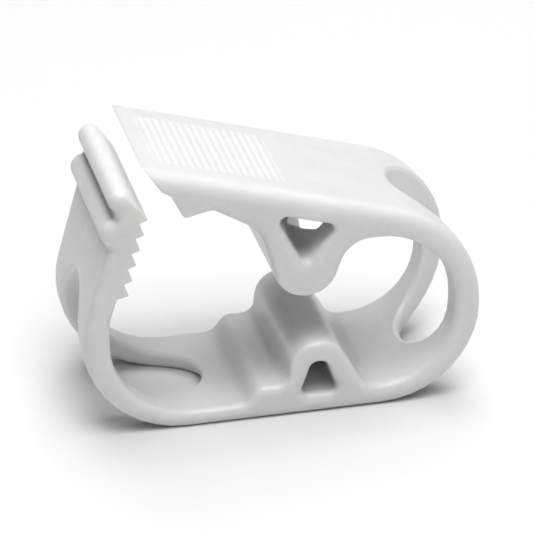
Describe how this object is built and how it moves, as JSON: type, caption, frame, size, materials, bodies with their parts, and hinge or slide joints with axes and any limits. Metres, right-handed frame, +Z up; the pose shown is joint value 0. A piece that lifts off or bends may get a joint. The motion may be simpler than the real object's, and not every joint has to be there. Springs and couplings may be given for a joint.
{
  "type": "tube clamp",
  "caption": "One-piece white plastic tube clamp: a springy strap with two pinching bosses, a toothed latch post, a hooked arm and oval tube holes.",
  "frame": {"origin": "middle of the clamp's footprint, on the surface that it stands on", "axes": "+X along the tube's way, from the latch post towards the hoop; +Y across the strap, away from the viewer of the picture; +Z up, from the floor of the strap to the arm"},
  "size_m": [0.0602, 0.025, 0.0429],
  "materials": {
    "white_plastic": "satin"
  },
  "bodies": {
    "root": {"tube_clamp": "white_plastic"}
  },
  "joints": []
}
